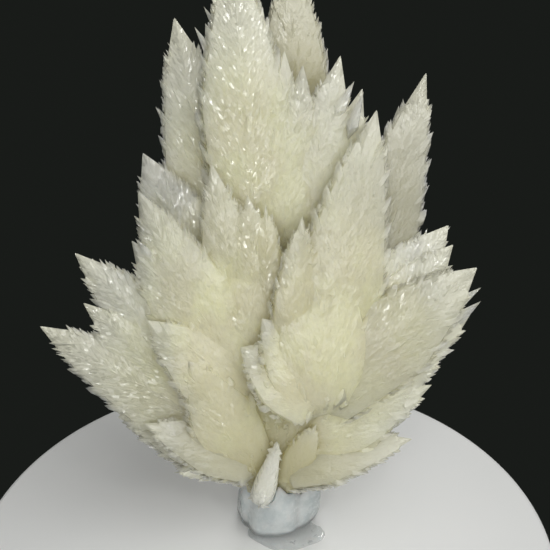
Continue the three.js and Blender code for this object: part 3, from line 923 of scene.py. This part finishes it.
wad = lump(PUTTY_SIDES, PUTTY_RINGS, wad_ring, Vector((0, 0, 0)), Vector((PUTTY_LEAN, 0, PUTTY_HEIGHT)))
print("corners in the wad", len(wad[0]))

# %% The smear
SMEAR_CENTRE = (3, -6.5)
SMEAR_HALF = (9.5, 6)
SMEAR_HEIGHT = 1.6
WRINKLES = 0.38  # this share of the height comes and goes
SMEAR_SIDES, SMEAR_RINGS = 120, 30


def smear_ring(h, a):
    reach = (1 - h ** 3) * (1 + 0.07 * math.sin(4 * a + 2))
    x = SMEAR_CENTRE[0] + SMEAR_HALF[0] * reach * math.cos(a)
    y = SMEAR_CENTRE[1] + SMEAR_HALF[1] * reach * math.sin(a)
    wrinkle = noise.noise(Vector((x * 0.35, y * 0.9, 2)))
    height = SMEAR_HEIGHT * (1 - WRINKLES + WRINKLES * wrinkle) * math.sin(math.pi / 2 * min(1, 3 * h))
    return Vector((x, y, max(0, height)))


smear = lump(SMEAR_SIDES, SMEAR_RINGS, smear_ring, Vector((*SMEAR_CENTRE, 0)),
             smear_ring(0.999, 0) + Vector((0, 0, 0.01)))
print("corners in the smear", len(smear[0]))

# %% [markdown]
# ## A pocket for the stalk
# The putty keeps the shape of what was pushed into it. The low end of the cluster is cut out of
# it, and again with small shifts to all sides, which leaves a little clear space all round.

# %% Cut the pocket
PUTTY_GAP = 0.3
SHIFTS = ((0, 0, -1), (1, 0, 0), (-1, 0, 0), (0, 1, 0), (0, -1, 0), (0, 0, 0))
ZONE_HALF, ZONE_LOW, ZONE_TALL = 40, -1, 21  # a square post round everything near the putty


def carve(thing, other, operation):
    mesh = combined(thing, operation, {"object": other})
    thing.modifiers.clear()
    old = thing.data
    thing.data = mesh
    bpy.data.meshes.remove(old)


def discard(thing):
    bpy.data.meshes.remove(thing.data)


def zone_ring(h, a):
    return Vector((ZONE_HALF * math.cos(a), ZONE_HALF * math.sin(a), ZONE_TALL * h + ZONE_LOW))


putty = thing_from("clear_putty", wad)
smear_thing = thing_from("smear", smear)
carve(putty, smear_thing, "UNION")
discard(smear_thing)

low_end = in_scene("low end", cluster_mesh.copy())
post = lump(4, 2, zone_ring, Vector((0, 0, ZONE_LOW)), Vector((0, 0, ZONE_LOW + ZONE_TALL)))
zone = thing_from("zone", post)
carve(low_end, zone, "INTERSECT")
discard(zone)
print("triangles in the low end", len(low_end.data.polygons))
for shift in SHIFTS:
    low_end.location = Vector(shift) * (PUTTY_GAP * MM)
    carve(putty, low_end, "DIFFERENCE")
discard(low_end)
putty.data.name = "clear_putty"
remove_corners(putty.data, largest_skin(putty.data))
putty.data.calc_loop_triangles()
print("triangles in the putty", len(putty.data.loop_triangles))

# %% Place the putty
PUTTY_SHARP = math.radians(50)
measure(putty.data)
soften(putty.data, PUTTY_SHARP)
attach(putty, "root")
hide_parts("mounting_putty")

# %% [markdown]
# ## A workbench for finishes
# A finish in Blender is a web of nodes. As text it is easier to read if sums look like sums, so
# a small class wraps one socket and lets Python's own signs add the Math nodes. Any other node
# comes from the method called node.

# %% Wire and Bench
class Wire:
    def __init__(self, bench, socket):
        self.bench = bench
        self.socket = socket

    def other(self, output):
        return Wire(self.bench, self.socket.node.outputs[output])

    def sum(self, operation, *terms):
        return self.bench.node("ShaderNodeMath", {"operation": operation}, dict(enumerate(terms)))

    def __add__(self, other):
        return self.sum("ADD", self, other)

    def __radd__(self, other):
        return self.sum("ADD", other, self)

    def __sub__(self, other):
        return self.sum("SUBTRACT", self, other)

    def __rsub__(self, other):
        return self.sum("SUBTRACT", other, self)

    def __mul__(self, other):
        return self.sum("MULTIPLY", self, other)

    def __rmul__(self, other):
        return self.sum("MULTIPLY", other, self)

    def __truediv__(self, other):
        return self.sum("DIVIDE", self, other)


class Bench:
    def __init__(self, name):
        self.material = bpy.data.materials.new(name)
        self.material.use_nodes = True
        self.tree = self.material.node_tree
        self.tree.nodes.clear()

    def node(self, kind, settings=None, sockets=None, out=0):
        made = self.tree.nodes.new(kind)
        for key, value in (settings or {}).items():
            setattr(made, key, value)
        for key, value in (sockets or {}).items():
            if isinstance(value, Wire):
                self.tree.links.new(value.socket, made.inputs[key])
            else:
                made.inputs[key].default_value = value
        return Wire(self, made.outputs[out])

    def note(self, name, out="Fac"):
        return self.node("ShaderNodeAttribute", {"attribute_name": name}, out=out)

    def step(self, value, low, high, start=0.0, end=1.0):
        limits = {"From Min": low, "From Max": high, "To Min": start, "To Max": end}
        settings = {"interpolation_type": "SMOOTHSTEP"}
        return self.node("ShaderNodeMapRange", settings, {"Value": value, **limits})

    def blend(self, share, first, second):
        return self.node("ShaderNodeMix", {"data_type": "RGBA"}, {0: share, 6: first, 7: second}, out=2)

    def vector(self, operation, first, second, out=0):
        return self.node("ShaderNodeVectorMath", {"operation": operation}, {0: first, 1: second}, out)

    def stretch(self, vector, scale):
        return self.vector("MULTIPLY", vector, scale)

    def split(self, vector, axis):
        return self.node("ShaderNodeSeparateXYZ", {}, {0: vector}, axis)

    def join(self, x, y, z):
        return self.node("ShaderNodeCombineXYZ", {}, {0: x, 1: y, 2: z})

    def noise(self, vector, cells, detail, roughness=0.5):
        sockets = {"Scale": 1.0, "Detail": detail, "Roughness": roughness}
        return self.node("ShaderNodeTexNoise", {}, {"Vector": self.stretch(vector, cells), **sockets})

    def shader(self, sockets):
        return self.node("ShaderNodeBsdfPrincipled", {"subsurface_method": "RANDOM_WALK"}, sockets)

    def mix(self, share, first, second):
        return self.node("ShaderNodeMixShader", {}, {0: share, 1: first, 2: second})

    def show(self, surface):
        last = self.tree.nodes.new("ShaderNodeOutputMaterial")
        self.tree.links.new(surface.socket, last.inputs["Surface"])
        print(self.material.name, "nodes", len(self.tree.nodes))
        return self.material


# %% [markdown]
# ## The calcite finish
# The crystal is milky: light goes in, scatters, and comes out again a few millimetres away.
# That is subsurface scattering. Most of the colour follows the place in the cluster, so that
# neighbours don't stand apart: a yellow-green cream in the middle with warmer clouds, greyer
# toward the rim and where a blade is thin, darker olive low in the middle, and olive painted
# shade in the creases. The tones then darken toward olive, whiten or grey the few blades that
# differ. Their olive and grey are partly painted shade.
# On each blade fine lines spread from the middle to both edges, as on a feather.
# Some blades glitter. Their faces are paved with slivers, each tilted a little in its own
# direction, so here and there one of them mirrors a lamp. A Voronoi texture gives the slivers:
# its colour is a random tilt for each cell, and the tilt times the place in the cell is a height.
# The points are part frosty and part clear, so two more shaders are mixed in toward them.

# %% Feather directions
FEATHER_LEAN = math.radians(24)


def feather(bench, grain):
    aside = bench.split(grain, "X")
    along = bench.split(grain, "Z")
    off = aside.sum("ABSOLUTE", aside)
    layer = bench.split(grain, "Y") + aside.sum("SIGN", aside) * 9
    cosine, sine = math.cos(FEATHER_LEAN), math.sin(FEATHER_LEAN)
    return bench.join(off * cosine - along * sine, layer, off * sine + along * cosine)


# %% Tilted slivers
SLIVER_SIZE = (0.45, 2.5, 1.25)  # mm across the feather's lines, through it and along them
SLIVER_BIAS = 0.3  # every sliver also faces this much toward the blade's point


def slivers(bench, lines):
    place = bench.stretch(lines, tuple(1 / length for length in SLIVER_SIZE))
    cell = bench.node("ShaderNodeTexVoronoi", {"feature": "F1"}, {"Vector": place, "Scale": 1.0}, "Color")
    tilt = bench.vector("SUBTRACT", cell, (0.5, 0.5, 0.5 + SLIVER_BIAS))
    inside = bench.stretch(bench.vector("SUBTRACT", place, cell.other("Position")), SLIVER_SIZE)
    return bench.vector("DOT_PRODUCT", inside, tilt, "Value")


# %% Calcite's colours and measures
CREAM = (0.76, 0.74, 0.49, 1)
WARM = (0.68, 0.635, 0.465, 1)
GREY = (0.67, 0.66, 0.50, 1)
DULL = (0.44, 0.425, 0.32, 1)
OLIVE = (0.46, 0.42, 0.235, 1)
WHITE = (0.87, 0.86, 0.71, 1)
CLEAR = (0.95, 0.95, 0.90, 1)
CALCITE_IOR = 1.58
MIDDLE_X, MIDDLE_Z = -0.004, 0.075  # the cluster's middle, in metres
REACH_X, REACH_Z = 0.046, 0.060  # and its rim's distance from there
FOOT_HEIGHTS, FOOT_SIDES = (0.014, 0.044), (0.006, 0.024)  # the darker olive low in the middle fades out over these
MILK_REACH, MILK_TINT = 0.016, (1.0, 0.98, 0.9)  # how far light wanders, and the share by colour
# cells of noise: per metre in the room for the clouds, per mm on the blade for the rest
CLOUDS, PATCHES, SPECKS = (90, 60, 70), (0.12, 0.06, 0.07), (0.9, 0.9, 0.6)
RIDGES, SWELLS, PITS = (1.1, 0.3, 0.16), (0.6, 0.4, 0.35), (1.6, 1.0, 1.1)
RIDGE_HIGH, SWELL_HIGH, PIT_DEEP = 0.14, 0.5, 0.04  # mm
SOFT_ROUGH, BRIGHT_SMOOTHER = 0.27, 0.19


# %% Calcite
def calcite_finish():
    bench = Bench("milky calcite")
    grain = bench.note("grain", "Vector")
    habit, tone = bench.note("habit", "Vector"), bench.note("tone", "Vector")
    along, aside, shine = [bench.split(habit, axis) for axis in "XYZ"]
    olive_tone_and_shade, frosting, grey_tone_and_shade = [bench.split(tone, axis) for axis in "XYZ"]
    place = bench.node("ShaderNodeTexCoord", out="Object")
    x, z = bench.split(place, "X"), bench.split(place, "Z")

    patch = bench.noise(grain, PATCHES, 2)
    glitter = shine + (patch - 0.5) * 1.4 - aside * 0.5 + (along - 0.5) * 0.5
    bright = bench.step(glitter, 0.25, 0.75)
    # painted shade: crease is high where other crystal hems a place in, and the colour goes olive there
    crease = 1 - bench.step(bench.note("open"), 0.2, 0.8)
    off_x, off_z = (x - MIDDLE_X) / REACH_X, (z - MIDDLE_Z) / REACH_Z
    rim = bench.step(off_x * off_x + off_z * off_z, 0.25, 0.85)
    thin = rim * bench.step(along, 0.3, 0.7) * (1 - bench.step(bench.note("thick"), 0.12, 0.55))
    tip = bench.step(along, 0.7, 0.96) * (0.2 + 0.8 * rim)

    cloud = bench.noise(place, CLOUDS, 3)
    speck = bench.noise(grain, SPECKS, 4, 0.65)
    foot = (1 - bench.step(z, *FOOT_HEIGHTS)) * (1 - bench.step(x.sum("ABSOLUTE", x), *FOOT_SIDES))
    colour = CREAM
    for share, other in (
        (bench.step(cloud, 0.4, 0.6) * 0.6, WARM),
        (bench.step(speck, 0.42, 0.7) * 0.17, DULL),
        (rim * 0.45 + thin * 0.3 + bright * 0.2, GREY),
        # darker olive low in the middle, and by each blade's olive tone, which is partly painted shade
        (foot * 0.8 + olive_tone_and_shade * 0.8, OLIVE),
        # painted shade: the creases are darkened toward olive
        (crease * 0.5, OLIVE),
        (frosting, WHITE),
        # each blade's grey tone, which is partly painted shade
        (grey_tone_and_shade, DULL),
    ):
        colour = bench.blend(share, colour, other)

    lines = feather(bench, grain)
    ridges = bench.noise(lines, RIDGES, 2)
    swells = bench.noise(grain, SWELLS, 4)
    pits = bench.step(bench.noise(grain, PITS, 3), 0.56, 0.7)
    soft = ridges * RIDGE_HIGH + swells * SWELL_HIGH - pits * PIT_DEEP
    height = slivers(bench, lines) * (0.08 + 0.65 * bright) + soft * (1 - 0.85 * bright)
    bumped = bench.node("ShaderNodeBump", {}, {"Strength": 1.0, "Distance": MM, "Height": height})
    shared = {"IOR": CALCITE_IOR, "Normal": bumped, "Roughness": SOFT_ROUGH - BRIGHT_SMOOTHER * bright}
    milk = bench.shader({
        **shared, "Base Color": colour, "Subsurface Weight": 1.0, "Subsurface Radius": MILK_TINT,
        "Subsurface Scale": MILK_REACH,
    })
    frost = bench.shader({**shared, "Base Color": bench.blend(0.5, colour, WHITE)})
    clear = bench.shader({**shared, "Base Color": CLEAR, "Roughness": 0.12, "Transmission Weight": 1.0})
    frosted = bench.mix(0.6 * tip + 0.35 * thin, milk, frost)
    return bench.show(bench.mix(tip * (0.05 + 0.12 * bright), frosted, clear))


cluster_mesh.materials.clear()
cluster_mesh.materials.append(calcite_finish())

# %% [markdown]
# ## The putty finish
# The wad is cloudy and bluish, like thick gel, with a wet skin. Where its wall is thin it
# clears up: one shader is for the cloudy part and one for the clear part, and the thickness
# note says how much of each. The smear on the floor is only a film, so it is mostly see-through.

# %% Putty
PUTTY_DARK, PUTTY_LIGHT = (0.53, 0.57, 0.57, 1), (0.65, 0.68, 0.67, 1)
PUTTY_CLEAR = (0.93, 0.96, 0.97, 1)
PUTTY_IOR = 1.45
FILM_HEIGHTS = (0.0016, 0.0034)  # metres; below the first all is film, above the second nothing


def putty_finish():
    bench = Bench("clear putty")
    place = bench.node("ShaderNodeTexCoord", out="Object")
    drift = bench.noise(place, (260, 260, 260), 3)
    dents = bench.noise(place, (700, 700, 700), 4, 0.55)
    film = 1 - bench.step(bench.split(place, "Z"), *FILM_HEIGHTS)
    bumped = bench.node("ShaderNodeBump", {}, {"Strength": 0.25, "Distance": 0.0004, "Height": dents})
    shared = {"IOR": PUTTY_IOR, "Normal": bumped}
    colour = bench.blend(bench.step(drift, 0.35, 0.65), PUTTY_DARK, PUTTY_LIGHT)
    cloudy = bench.shader({
        **shared, "Base Color": colour, "Roughness": bench.step(dents, 0.3, 0.7, 0.12, 0.35),
        "Alpha": 1 - film * 0.85, "Subsurface Weight": 1.0, "Subsurface Radius": (0.8, 0.95, 1.0),
        "Subsurface Scale": 0.003,
    })
    glass = {"Base Color": PUTTY_CLEAR, "Roughness": 0.05, "Transmission Weight": 1.0}
    clear = bench.shader({**shared, **glass})
    return bench.show(bench.mix(bench.step(bench.note("thick"), 0.04, 0.2, 0.2, 0.08), cloudy, clear))


putty.data.materials.clear()
putty.data.materials.append(putty_finish())

# %% Floor finish
def floor_finish():
    bench = Bench("pale floor")
    place = bench.node("ShaderNodeTexCoord", out="Object")
    shade = bench.noise(place, (30, 30, 30), 2)
    colour = bench.blend(shade, (0.80, 0.81, 0.79, 1), (0.84, 0.84, 0.82, 1))
    return bench.show(bench.shader({"Base Color": colour, "Roughness": 0.45}))


floor.data.materials.append(floor_finish())
